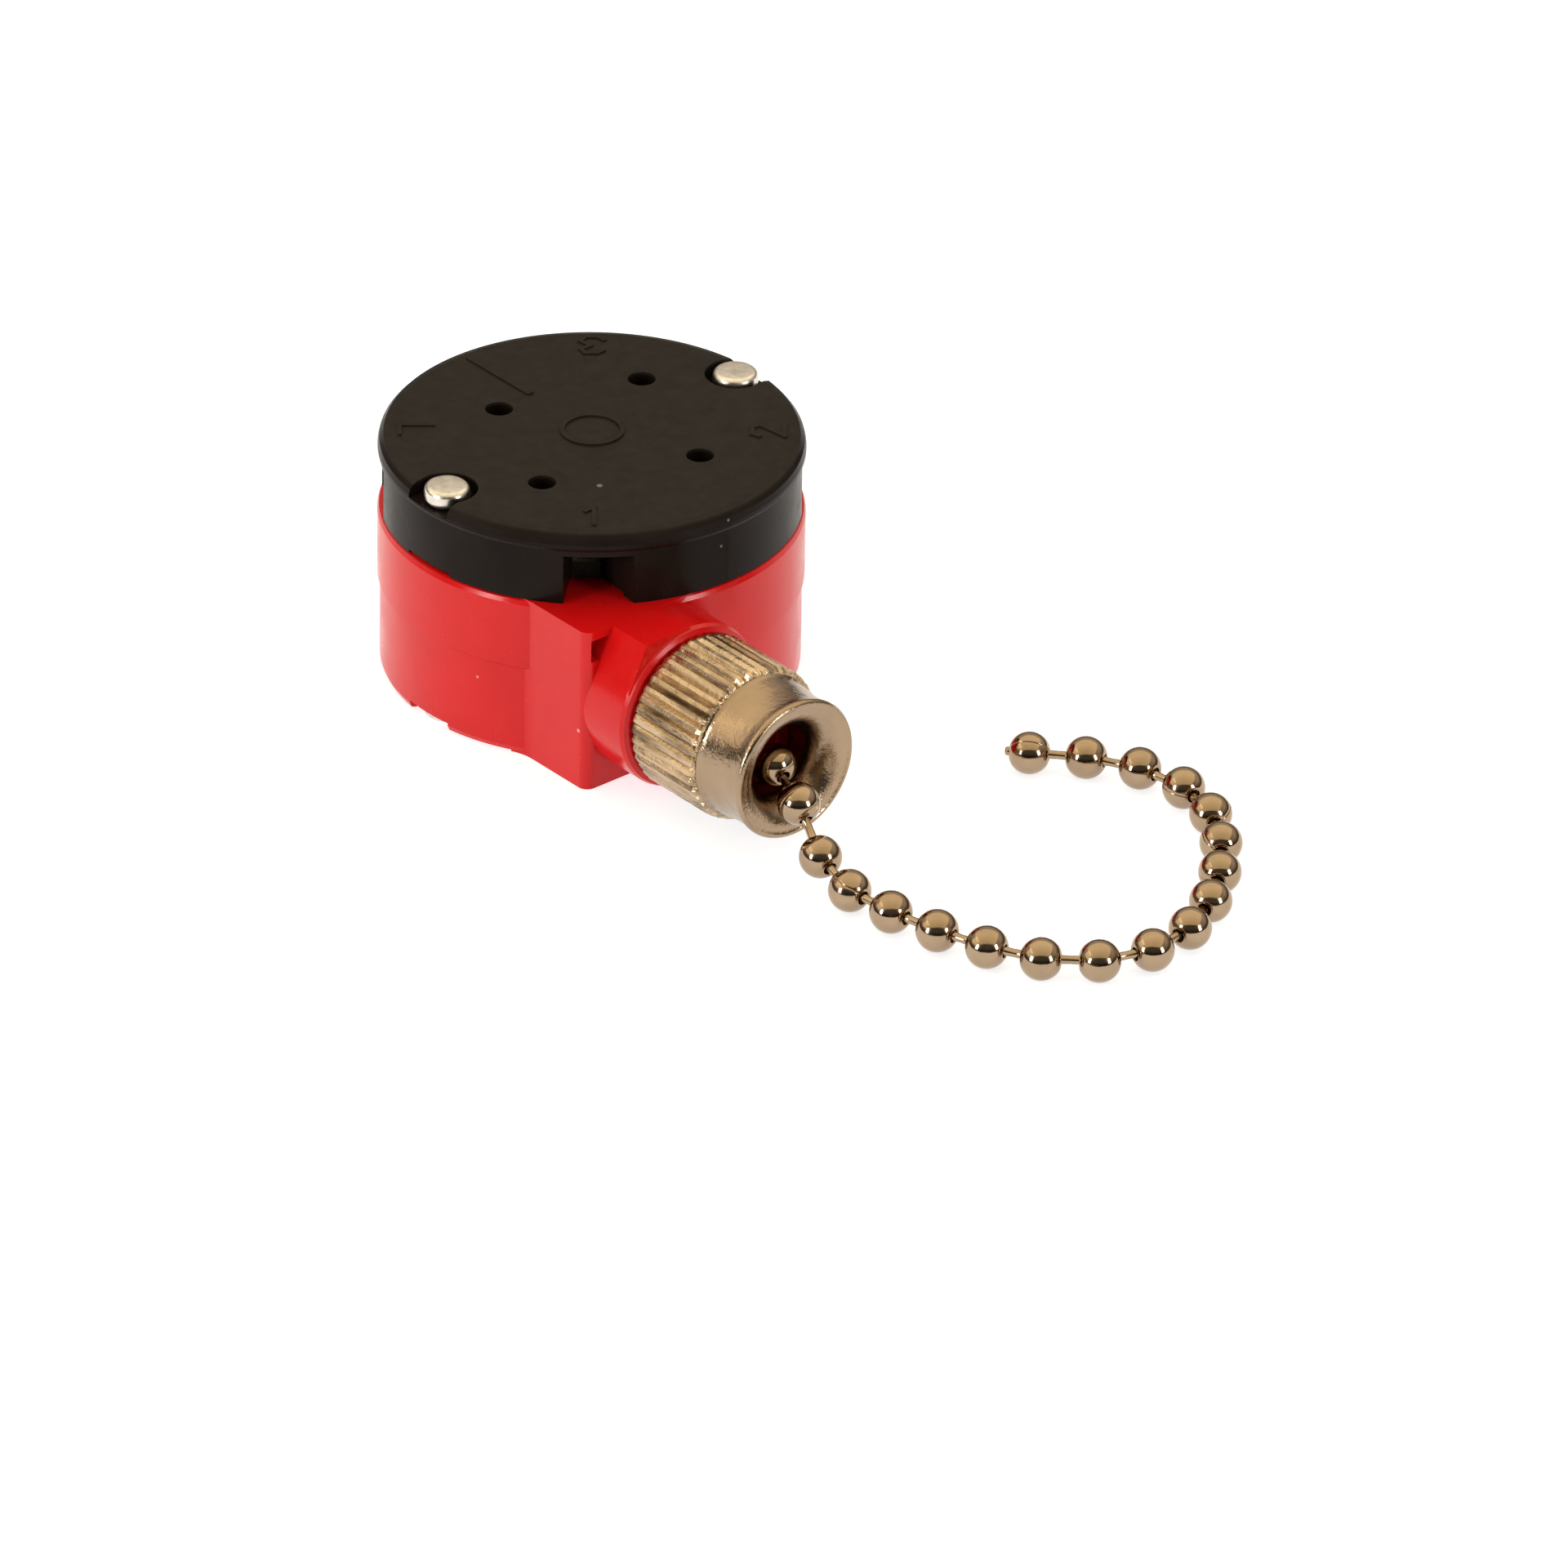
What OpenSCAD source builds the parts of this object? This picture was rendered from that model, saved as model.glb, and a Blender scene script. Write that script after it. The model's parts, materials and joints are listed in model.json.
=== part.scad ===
// Pull cord switch: a round four-terminal rotary switch worked by a ball chain.
// Frame: the underside stands on z = 0, the body's axis is Z, the chain leaves along +X.
// Everything is in millimetres and every piece is drawn in its assembled rest place.

/* [Body] */
// radius of the red cup above its mould step
body_r = 15.9; // [12:0.1:24]
// radius of the red cup below its mould step
base_r = 15.7; // [12:0.1:24]
// height of the mould step in the cup's wall
step_z = 7.4; // [4:0.1:12]
// height of the plane where cup and cover meet
part_z = 13.2; // [10:0.1:18]
// overall height to the cover's top face
top_z = 19.15; // [15:0.1:26]
// thickness of the cup's floor
floor_t = 1.6; // [1:0.1:3]
// radius of the cup's cavity
cavity_r = 14.05; // [10:0.05:15]

/* [Cover] */
// radius of the cover's top plate
cover_r = 15.88; // [12:0.01:24]
// radius of the cover's skirt under the top plate
skirt_r = 15.7; // [12:0.1:24]
// turn of the wire entries away from the diagonals, degrees
entry_turn = 5.4; // [0:0.1:15]
// width of a wire entry
entry_w = 5.4; // [3:0.1:8]
// height of a wire entry
entry_h = 4; // [2:0.1:5]
// radius of a release hole
release_r = 1.05; // [0.5:0.05:2]
// distance of the release holes from the axis
release_at = 8.77; // [6:0.01:11]
// distance of the common terminal's release hole from the axis
release_l_at = 7.6; // [6:0.01:11]

/* [Rivets] */
// distance of the two rivets from the axis
rivet_at = 13.86; // [10:0.01:14.5]
// radius of a rivet's shank
rivet_r = 1; // [0.5:0.05:1.5]
// radius of a rivet's head
rivet_head_r = 1.76; // [1.2:0.01:2.2]

/* [Nozzle] */
// sideways place of the nozzle's axis, which is also the drum's pitch radius
nozzle_y = -6.6; // [-9:0.1:-4]
// height of the nozzle's axis
nozzle_z = 6.65; // [5:0.05:9]
// radius of the neck that passes through the fixture wall
neck_r = 6.5; // [5:0.1:8]
// place of the block's front face along X
block_x = 15.34; // [12:0.01:20]
// place of the block's side face along Y
block_y = -13.2; // [-15:0.1:-9]
// place of the neck's front face along X
neck_x = 19.5; // [17:0.1:25]
// outer radius of the threaded spigot
thread_r = 3.9; // [3:0.1:5]
// pitch of the spigot's thread
thread_pitch = 0.75; // [0.5:0.05:1.5]
// front end of the threaded spigot along X
spigot_x = 27.2; // [24:0.1:30]
// bore radius of the chain's tunnel
tunnel_r = 2.05; // [1.8:0.05:3]

/* [Bell nut] */
// back face of the nut along X
nut_x = 19.6; // [18:0.1:22]
// radius over the nut's knurl
nut_r = 6.12; // [5:0.01:8]
// number of flutes in the knurl
flutes = 44; // [20:1:60]
// length of the knurled part
knurl_l = 7.1; // [3:0.1:10]
// radius of the smooth barrel at its waist
barrel_r = 5.55; // [4:0.05:7]
// radius of the mouth's rim
mouth_r = 5.5; // [4:0.01:7]
// place of the mouth's rim along X
mouth_x = 31.35; // [28:0.05:36]
// throat radius
throat_r = 2.7; // [2:0.05:4]

/* [Ball chain] */
// radius of a ball
ball_r = 1.6; // [1:0.05:2.5]
// distance between balls inside the body
ball_pitch = 4.35; // [3.5:0.05:6]
// distance between balls where the chain lies on the table
lay_pitch = 4.206; // [3.5:0.001:6]
// number of balls on the straight run inside the nozzle
inner_balls = 6; // [3:1:9]
// number of balls lying on the table
laid_balls = 17; // [8:1:40]
// heading of the first laid link, degrees from +X
lay_heading = -13.92; // [-60:0.01:60]
// turn for each ball along the lay, degrees
lay_turn = 14.93; // [0:0.01:30]
// size of the slow wander about that turn, degrees
lay_wander = 8.53; // [0:0.01:30]
// balls for each cycle of the slow wander
lay_cycle = 16.92; // [8:0.01:30]
// ball number where the slow wander starts
lay_start = -1.23; // [-10:0.01:10]
// size of the quick wander, degrees
lay_ripple = 10.26; // [0:0.01:30]
// balls for each cycle of the quick wander
ripple_cycle = 6.95; // [4:0.01:12]
// ball number where the quick wander starts
ripple_start = 2.44; // [-10:0.01:10]

/* [Mechanism] */
// radius of the pivot pin
pin_r = 1.2; // [0.8:0.05:2]
// running clearance of turning parts on their pins
run_gap = 0.05; // [0.02:0.01:0.1]
// outer radius of the drum's flanges
flange_r = 8.6; // [8.3:0.1:10]
// radius of the drum's groove
groove_r = 4.9; // [4:0.05:6]
// teeth in the face ratchet
ratchet_teeth = 8; // [4:4:16]
// height of the ratchet's teeth
tooth_h = 0.8; // [0.4:0.05:1.2]
// turns in the return spring
coil_turns = 3.5; // [2:0.5:6]
// thickness of the return spring's strip
strip_t = 0.3; // [0.15:0.05:0.5]
// turns in the rotor spring
rotor_coils = 5; // [3:1:8]

/* [Hidden] */
$fn = 96;
e = 0.02;
drum_z0 = nozzle_z - ball_r - 0.85;
drum_z1 = nozzle_z + ball_r + 0.85;
pitch_r = abs(nozzle_y);
rotor_z0 = drum_z1 + 2 * tooth_h + 0.05;
rotor_z1 = 12.6;
plate_z = 13.1;
cap_z = 17.2;
wrap_step = 2 * asin(ball_pitch / 2 / pitch_r);
ball0 = [mouth_x - 2.45, nozzle_y, nozzle_z - 0.62];
ball1 = [mouth_x + 1.46, nozzle_y - 0.99, nozzle_z - 1.79];
ball2 = [mouth_x + 5, nozzle_y - 1.88, ball_r + 0.72];
drop = ball2[2] - ball_r;
first_step = sqrt(lay_pitch * lay_pitch - drop * drop);
inner_x = [for (k = [inner_balls : -1 : 1]) ball0[0] - k * ball_pitch];
inner_run = [for (x = inner_x) [x, nozzle_y, nozzle_z]];
entries = [for (k = [0 : 3]) -45 + entry_turn + 90 * k];

function wander(k, size, cycle, start) = size * sin(360 * (k - start) / cycle);
function heading(k) = lay_heading + lay_turn * k
    - wander(k, lay_wander, lay_cycle, lay_start) - wander(k, lay_ripple, ripple_cycle, ripple_start);
function toward(k) = [cos(heading(k)), sin(heading(k)), 0];
function laid(k) = k == 0 ? ball2
    : k == 1 ? ball2 + first_step * toward(0) - [0, 0, drop]
    : laid(k - 1) + lay_pitch * toward(k - 1);
chain_run = concat(inner_run, [ball0, ball1], [for (k = [0 : laid_balls - 1]) laid(k)]);
// the last inner ball sits this far back round the drum, in degrees
wrap_start = -90 - (inner_x[0] < ball_pitch ? (ball_pitch - inner_x[0]) / pitch_r * 180 / PI : 0);
function on_drum(a) = [pitch_r * cos(a), pitch_r * sin(a), nozzle_z];
wrap_run = [for (k = [0 : 2]) on_drum(wrap_start - k * wrap_step)];
anchor_a = wrap_start - 2 * wrap_step - 27;

module at_entry(k) {
    rotate([0, 0, entries[k]]) children();
}

// a cylinder along a line from a to b
module rod(a, b, r) {
    d = b - a;
    l = norm(d);
    translate(a)
        rotate([0, acos(d[2] / l), atan2(d[1], d[0])])
            cylinder(r = r, h = l, $fn = 24);
}

// a ring-shaped wall piece of revolution between two heights
module tube(r_out, r_in, z0, z1) {
    translate([0, 0, z0])
        difference() {
            cylinder(r = r_out, h = z1 - z0);
            translate([0, 0, -1])
                cylinder(r = r_in, h = z1 - z0 + 2);
        }
}

// moves what is drawn along +Z on to the nozzle's axis, pointing along +X
module on_nozzle(x = 0) {
    translate([x, nozzle_y, nozzle_z]) rotate([0, 90, 0]) children();
}

// ---- moulded body -------------------------------------------------------------

module cup_wall() {
    rotate_extrude()
        polygon([
            [0, 0], [base_r - 0.55, 0], [base_r - 0.16, 0.16], [base_r, 0.55],
            [base_r, step_z - 0.1], [body_r, step_z + 0.1], [body_r, part_z - 0.45],
            [body_r - 0.13, part_z - 0.13], [body_r - 0.45, part_z], [0, part_z]
        ]);
}

// the square block that carries the neck, with a hollow blend into the round wall
module nozzle_block() {
    blend = 4;
    meet_r = base_r - 0.2;
    bx = sqrt(pow(meet_r + blend, 2) - pow(-block_y + blend, 2));
    touch = [bx, block_y - blend] * meet_r / (meet_r + blend);
    edge = 0.8;
    difference() {
        linear_extrude(part_z)
            polygon([
                [4, -6], [touch[0] - 0.4, touch[1] + 0.6], touch, [touch[0] + 0.5, block_y - 0.9],
                [bx, block_y], [block_x - edge, block_y], [block_x - edge * 0.293, block_y + edge * 0.293],
                [block_x, block_y + edge], [block_x, -2], [8, 0]
            ]);
        translate([bx, block_y - blend, -1]) cylinder(r = blend, h = part_z + 2);
    }
    translate([block_x - edge, block_y + edge, 0]) cylinder(r = edge, h = part_z);
}

// a (Y, Z) outline drawn out along X
module along_x(x0, x1) {
    translate([x0, 0, 0]) rotate([90, 0, 90]) linear_extrude(x1 - x0) children();
}

// the round neck, with a flat-topped shoulder whose side slopes out to meet the round
module neck() {
    intersection() {
        on_nozzle(6)
            rotate_extrude()
                polygon([
                    [0, 0], [neck_r, 0], [neck_r, neck_x - 6 - 0.5],
                    [neck_r - 0.15, neck_x - 6 - 0.15], [neck_r - 0.5, neck_x - 6], [0, neck_x - 6]
                ]);
        translate([0, -20, 0.02]) cube([40, 30, part_z - 0.04]);
    }
    along_x(8, neck_x - 0.3)
        polygon([
            [nozzle_y, nozzle_z], [nozzle_y, part_z - 0.02], [nozzle_y - 4.15, part_z - 0.02],
            [nozzle_y - 5.78, nozzle_z + 2.92]
        ]);
}

// spigot with grooves in place of the thread's helix
module spigot() {
    difference() {
        on_nozzle(neck_x - 0.5)
            cylinder(r = thread_r, h = spigot_x - neck_x + 0.5);
        on_nozzle(neck_x + 0.6)
            for (k = [0 : floor((spigot_x - neck_x - 1.1) / thread_pitch) - 1])
                translate([0, 0, k * thread_pitch])
                    rotate_extrude()
                        polygon([[thread_r - 0.32, 0.3], [thread_r + 0.4, -0.02], [thread_r + 0.4, 0.62]]);
    }
}

module housing_cup() {
    color("#c8202a")
    difference() {
        union() {
            difference() {
                union() {
                    cup_wall();
                    nozzle_block();
                    neck();
                    spigot();
                }
                difference() {
                    translate([0, 0, floor_t]) cylinder(r = cavity_r, h = part_z);
                    for (s = [-1, 1])
                        translate([0, s * rivet_at, 0]) cylinder(r = 2.75, h = part_z);
                }
            }
            // shelf that closes the floor of each wire entry
            for (k = [0 : 3])
                at_entry(k)
                    translate([11.6, -2.5, part_z - 1.3]) cube([2.75, 6.1, 1.26]);
            // boss for the pivot pin, and the post that holds the return spring
            translate([0, 0, floor_t - 0.1]) cylinder(r = 2.6, h = 1.7);
            rotate([0, 0, 150])
                translate([10.3, -1.1, floor_t - 0.1]) cube([2.2, 2.2, 2.5]);
        }
        // chain tunnel
        on_nozzle(8) cylinder(r = tunnel_r, h = spigot_x - 7);
        on_nozzle(spigot_x - 0.6) cylinder(r1 = tunnel_r, r2 = tunnel_r + 0.7, h = 0.7);
        // moulded pocket between the block's corner, its top wall and the neck's sloping side
        along_x(block_x - 1.1, block_x + 0.9)
            polygon([[-12.72, 10.7], [-12.72, 12.5], [-11.13, 12.5], [-11.96, 10.7]]);
        // pin socket
        translate([0, 0, 0.8]) cylinder(r = pin_r, h = 4);
        // slot for the spring's outer end
        rotate([0, 0, 150])
            translate([9.4, -0.2, floor_t + 0.2]) cube([2.2, strip_t + 0.1, 3]);
        // rivet holes and the pockets for their set ends, open at the rim
        for (s = [-1, 1])
            translate([0, s * rivet_at, 0]) {
                translate([0, 0, -1]) cylinder(r = rivet_r + 0.04, h = part_z + 2);
                translate([0, 0, -1]) cylinder(r = 2.3, h = 1.75);
                translate([-2.2, s > 0 ? 0 : -4, -1]) cube([4.4, 4, 1.75]);
            }
        // shallow moulded hollows in the underside
        for (a = [20, 135, 225])
            rotate([0, 0, a]) translate([9.2, 0, -1]) cylinder(r = 1.6, h = 1.25);
    }
}

module entry_cut() {
    w = entry_w;
    // mouth in the skirt, with one slanted wall that guides the wire inward
    translate([0, 0, part_z - 1])
        linear_extrude(entry_h + 1)
            polygon([
                [18, -w * 0.41], [18, w * 0.61], [15.6, w * 0.59], [11.8, 0.6],
                [9, 0.6], [9, -1.5], [11.8, -1.5], [15.6, -w * 0.4]
            ]);
    // the locating lip is left out over the shelf
    translate([11.4, -2.8, part_z - 2]) cube([2.9, 6.7, 2.3]);
}

module station_pocket(inner) {
    translate([inner, -4.95, part_z - 1]) cube([11 - inner, 6.3, cap_z - part_z + 1]);
}

module terminal_cover() {
    color("#26221f")
    difference() {
        union() {
            rotate_extrude()
                polygon([
                    [0, part_z + e], [skirt_r, part_z + e], [skirt_r, top_z - 1.55],
                    [cover_r, top_z - 1.25], [cover_r, top_z - 0.95], [cover_r - 0.12, top_z - 0.5],
                    [cover_r - 0.45, top_z - 0.14], [cover_r - 0.95, top_z], [0, top_z]
                ]);
            // locating lip that drops into the cup
            tube(cavity_r - 0.06, cavity_r - 1.0, part_z - 1.1, part_z + 0.5);
        }
        // wire entries and terminal chambers
        for (k = [0 : 3])
            at_entry(k) {
                entry_cut();
                station_pocket(k == 3 ? 2.4 : 5.2);
            }
        // release holes, about twenty degrees round from the diagonals
        for (k = [0 : 3])
            rotate([0, 0, -64.6 + 90 * k])
                translate([k == 3 ? release_l_at : release_at, 0, part_z])
                    cylinder(r = release_r, h = 8);
        // spring chamber and socket for the pivot pin
        translate([0, 0, part_z - 1]) cylinder(r = 3, h = 4.4);
        translate([0, 0, part_z]) cylinder(r = pin_r + 0.02, h = 4.2);
        // rivet holes and head pockets, open at the rim
        for (s = [-1, 1])
            translate([0, s * rivet_at, 0]) {
                cylinder(r = rivet_r + 0.04, h = 30);
                translate([0, 0, top_z - 1.1]) cylinder(r = 2.3, h = 4);
                translate([-2.2, s > 0 ? 0 : -4, top_z - 1.1]) cube([4.4, 4, 4]);
                // the lip leaves room for the cup's rivet bosses
                cylinder(r = 2.9, h = part_z + 0.3);
            }
    }
    color("#26221f") cover_marks();
}

// raised marks: a ring at the centre, a strip-length bar, and the terminal marks
module cover_marks() {
    translate([0, 0, top_z - 0.05]) {
        difference() {
            cylinder(r = 2.4, h = 0.2);
            translate([0, 0, -1]) cylinder(r = 2.05, h = 3);
        }
        // strip gauge bar
        translate([-14.4, -0.3, 0]) cube([7.3, 0.55, 0.17]);
        // terminal marks, read from the rim
        at_entry(0) translate([13.04, 0, 0]) rotate([0, 0, 90]) mark_1();
        at_entry(1) translate([13.04, 0, 0]) rotate([0, 0, 90]) mark_2();
        at_entry(2) translate([13.04, 0, 0]) rotate([0, 0, 90]) mark_3();
        at_entry(3) translate([13.04, 0, 0]) rotate([0, 0, 90]) mark_l();
    }
}

module stroke(a, b) {
    d = b - a;
    translate([a[0], a[1], 0])
        rotate([0, 0, atan2(d[1], d[0])])
            translate([-0.16, -0.16, 0]) cube([norm(d) + 0.32, 0.32, 0.17]);
}

module mark_1() {
    stroke([0.1, -1.25], [0.1, 1.25]);
    stroke([-0.5, 0.7], [0.1, 1.25]);
}

module mark_2() {
    stroke([-0.85, 0.7], [-0.55, 1.2]);
    stroke([-0.55, 1.2], [0.45, 1.2]);
    stroke([0.45, 1.2], [0.8, 0.6]);
    stroke([0.8, 0.6], [-0.85, -1.2]);
    stroke([-0.85, -1.2], [0.9, -1.2]);
}

module mark_3() {
    stroke([-0.85, 0.85], [-0.4, 1.25]);
    stroke([-0.4, 1.25], [0.5, 1.25]);
    stroke([0.5, 1.25], [0.8, 0.7]);
    stroke([0.8, 0.7], [0.1, 0.1]);
    stroke([0.1, 0.1], [0.85, -0.6]);
    stroke([0.85, -0.6], [0.45, -1.25]);
    stroke([0.45, -1.25], [-0.45, -1.25]);
    stroke([-0.45, -1.25], [-0.9, -0.8]);
}

module mark_l() {
    stroke([-0.6, 1.25], [-0.6, -1.2]);
    stroke([-0.6, -1.2], [0.8, -1.2]);
}

// ---- rivets, nut and pin ------------------------------------------------------

module rivet(side) {
    color("#c9c4bb")
    translate([0, side * rivet_at, 0])
        rotate_extrude()
            polygon([
                [0, 0.12], [1.45, 0.12], [1.62, 0.3], [1.62, 0.75], [rivet_r, 0.75],
                [rivet_r, top_z - 1.1], [rivet_head_r, top_z - 1.1], [rivet_head_r, top_z - 0.05],
                [rivet_head_r - 0.1, top_z + 0.15], [rivet_head_r - 0.35, top_z + 0.28], [0, top_z + 0.32]
            ]);
}

module rivet_near() {
    rivet(-1);
}

module rivet_far() {
    rivet(1);
}

// knurled barrel that flares to a smooth bell mouth for the chain
module bell_nut() {
    l = mouth_x - nut_x;
    color("#c9b48c")
    difference() {
        on_nozzle(nut_x)
            rotate_extrude()
                polygon(concat(
                    [
                        [thread_r + run_gap, 0], [nut_r - 0.35, 0], [nut_r, 0.35], [nut_r, knurl_l - 0.35],
                        [nut_r - 0.3, knurl_l], [barrel_r + 0.12, knurl_l + 0.05], [barrel_r, knurl_l + 0.5],
                        [barrel_r - 0.2, l - 2.6], [barrel_r - 0.22, l - 1.8], [mouth_r - 0.14, l - 0.8],
                        [mouth_r - 0.02, l - 0.5], [mouth_r, l - 0.25], [mouth_r - 0.1, l - 0.06],
                        [mouth_r - 0.28, l], [mouth_r - 0.46, l - 0.1]
                    ],
                    // trumpet curve from the lip down to the throat
                    [for (t = [10 : 10 : 90])
                        [mouth_r - 0.46 - 2.26 * sin(t), l - 0.1 - 2.9 * (1 - cos(t))]],
                    [
                        [throat_r, spigot_x - nut_x + 0.35], [thread_r + run_gap, spigot_x - nut_x + 0.15]
                    ]
                ));
        // flutes of the knurl
        on_nozzle(nut_x)
            for (k = [0 : flutes - 1])
                rotate([0, 0, 360 / flutes * k])
                    translate([nut_r + 0.04, 0, -0.2])
                        rotate([0, 0, 45])
                            translate([-0.17, -0.17, 0]) cube([0.34, 0.34, knurl_l + 0.15]);
    }
}

module pivot_pin() {
    color("#b9b9bc")
    translate([0, 0, 0.8])
        cylinder(r = pin_r, h = 16.2);
}

// ---- pull drum ----------------------------------------------------------------

module ratchet_ring(up) {
    for (k = [0 : ratchet_teeth - 1])
        rotate([0, 0, 360 / ratchet_teeth * k])
            translate([-1.3, 0, 0])
                if (up)
                    translate([0, 4.6, 0]) rotate([90, 0, 180]) translate([-2.6, 0, 0])
                        linear_extrude(2.8) polygon([[0, -0.2], [2.6, -0.2], [2.6, 0], [0, tooth_h]]);
                else
                    translate([0, 4.6, 0]) rotate([90, 0, 180]) translate([-2.6, 0, 0])
                        linear_extrude(2.8) polygon([[0, 0.2], [2.6, 0.2], [2.6, -tooth_h], [0, 0]]);
}

module pull_drum() {
    color("#e9e4d6")
    difference() {
        union() {
            // spring sleeve, lower flange, grooved core, upper flange and ratchet
            translate([0, 0, 2]) cylinder(r = 3.5, h = 3);
            translate([0, 0, drum_z0]) cylinder(r = flange_r, h = 0.75);
            translate([0, 0, drum_z0]) cylinder(r = groove_r, h = drum_z1 - drum_z0);
            translate([0, 0, drum_z1 - 0.75]) cylinder(r = flange_r, h = 0.75);
            translate([0, 0, drum_z1]) ratchet_ring(true);
            // stop lug beside the anchored end
            rotate([0, 0, anchor_a - 24]) translate([4, -1.2, drum_z0]) cube([4.2, 2.4, drum_z1 - drum_z0]);
        }
        // running bore on the pin, and relief round the cup's boss
        translate([0, 0, 0]) cylinder(r = pin_r + run_gap, h = 20);
        translate([0, 0, 0]) cylinder(r = 2.7, h = 3.65);
        // slot for the spring's inner end
        rotate([0, 0, -20]) translate([3, -0.2, 1.5]) cube([1, strip_t + 0.1, 2.2]);
        // holes for the anchor peg
        translate([pitch_r * cos(anchor_a), pitch_r * sin(anchor_a), 0]) cylinder(r = 0.8, h = 20);
        // lightening windows in both flanges
        for (k = [0 : 2])
            rotate([0, 0, 15 + 90 * k - 60]) translate([3.1, 0, drum_z0 + 0.75]) cylinder(r = 0.7, h = 20);
    }
}

module drum_washer() {
    color("#d8d8da")
    tube(2.5, pin_r + 0.03, 3.21, 3.6);
}

module chain_anchor() {
    p = on_drum(anchor_a);
    color("#b98d4a")
    difference() {
        union() {
            translate([p[0], p[1], drum_z0 - 0.1]) cylinder(r = 0.8, h = drum_z1 - drum_z0 + 0.2);
            translate([p[0], p[1], nozzle_z - 0.8]) cylinder(r = 1.25, h = 1.6);
        }
    }
}

// ---- ball chain ---------------------------------------------------------------

// a hollow ball with one hole for each link that enters it
module bead(p, toward) {
    d = toward[0] - p;
    difference() {
        translate(p) rotate([0, 0, atan2(d[1], d[0]) + 90]) sphere(r = ball_r, $fn = 48);
        translate(p) rotate([0, 0, atan2(d[1], d[0]) + 90]) sphere(r = ball_r - 0.28, $fn = 48);
        for (q = toward)
            rod(p, p + (q - p) / norm(q - p) * (ball_r + 0.3), 0.48);
    }
}

// a link: a rod with a head held inside each ball
module link(a, b, b_end = true) {
    u = (b - a) / norm(b - a);
    p = a + u * 0.68;
    q = b - u * (b_end ? 0.68 : 0);
    turn = [0, 0, atan2(u[1], u[0]) + 90];
    rod(p, q, 0.36);
    translate(p) rotate(turn) sphere(r = 0.6, $fn = 24);
    if (b_end)
        translate(q) rotate(turn) sphere(r = 0.6, $fn = 24);
}

module beads(first, last) {
    n = len(chain_run);
    color("#c7b183")
    for (k = [first : last])
        bead(chain_run[k], concat(
            [k > 0 ? chain_run[k - 1] : chain_run[k] - [1, 0, 0]],
            [k < n - 1 ? chain_run[k + 1] : 2 * chain_run[k] - chain_run[k - 1]]
        ));
}

module chain_balls_inner() {
    beads(0, inner_balls - 1);
}

module chain_balls_mouth() {
    beads(inner_balls, inner_balls + 3);
}

module chain_balls_near() {
    beads(inner_balls + 4, inner_balls + 10);
}

module chain_balls_far() {
    beads(inner_balls + 11, len(chain_run) - 1);
}

module chain_links() {
    n = len(chain_run);
    last = chain_run[n - 1];
    u = (last - chain_run[n - 2]) / norm(last - chain_run[n - 2]);
    color("#b9a67c") {
        for (k = [0 : n - 2])
            link(chain_run[k], chain_run[k + 1]);
        // stub left where the chain was cut
        link(last, last + u * 1.85, false);
        // first link, ending short of the balls on the drum
        link(chain_run[0], chain_run[0] - [1.95, 0, 0], false);
    }
}

module chain_wrap() {
    p = concat(wrap_run, [on_drum(anchor_a)]);
    color("#c7b183")
    for (k = [0 : 2])
        bead(p[k], k == 0 ? [p[1]] : [p[k - 1], p[k + 1]]);
}

module chain_wrap_links() {
    color("#b9a67c") {
        link(wrap_run[0], wrap_run[1]);
        link(wrap_run[1], wrap_run[2]);
        difference() {
            link(wrap_run[2], on_drum(anchor_a), false);
            translate(on_drum(anchor_a) - [0, 0, 2]) cylinder(r = 1.25, h = 4);
        }
    }
}

// ---- springs ------------------------------------------------------------------

function spiral(r0, r1, turns, side, n = 90) =
    [for (i = [0 : n])
        let (t = i / n, r = r0 + (r1 - r0) * t + side * strip_t / 2, a = -20 + 360 * turns * t)
        [r * cos(a), r * sin(a)]];

function back(v) = [for (i = [len(v) - 1 : -1 : 0]) v[i]];

// flat spiral strip between the drum's sleeve and the post in the cup
module return_spring() {
    // the strip ends 170 degrees on from where it starts, after whole turns
    turns = floor(coil_turns) + 170 / 360;
    inner = spiral(3.72, 10.0, turns, -1);
    outer = spiral(3.72, 10.0, turns, 1);
    color("#8f9299")
    translate([0, 0, 1.95]) {
        linear_extrude(1.7)
            polygon(concat(outer, back(inner)));
        // ends hooked into the drum's sleeve and the cup's post
        rotate([0, 0, -20]) translate([3.06, -strip_t / 2, 0]) cube([0.75, strip_t, 1.7]);
        rotate([0, 0, 150]) translate([9.9, -strip_t / 2, 0]) cube([1.6, strip_t, 1.7]);
    }
}

// helical sweep with a many-sided wire
module coil(r, wire, z0, z1, turns, sides = 8, steps = 18) {
    n = turns * steps;
    pts = [for (i = [0 : n], j = [0 : sides - 1])
        let (a = 360 * i / steps, b = 360 * j / sides, rr = r + wire * cos(b))
        [rr * cos(a), rr * sin(a), z0 + (z1 - z0) * i / n + wire * sin(b)]];
    quads = [for (i = [0 : n - 1], j = [0 : sides - 1])
        let (a = i * sides + j, b = i * sides + (j + 1) % sides)
        [a, b, b + sides, a + sides]];
    caps = [
        [for (j = [0 : sides - 1]) sides - 1 - j],
        [for (j = [0 : sides - 1]) n * sides + j]
    ];
    sides_out = [for (q = quads) back(q)];
    polyhedron(points = pts, faces = concat(sides_out, [back(caps[0])], [back(caps[1])]), convexity = 6);
}

module rotor_spring() {
    color("#8f9299")
    coil(2.15, 0.2, 13.05, 16.35, rotor_coils);
}

module spring_washer() {
    color("#d8d8da")
    tube(2.9, pin_r + 0.03, rotor_z1 + 0.02, rotor_z1 + 0.22);
}

// ---- rotor --------------------------------------------------------------------

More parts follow.
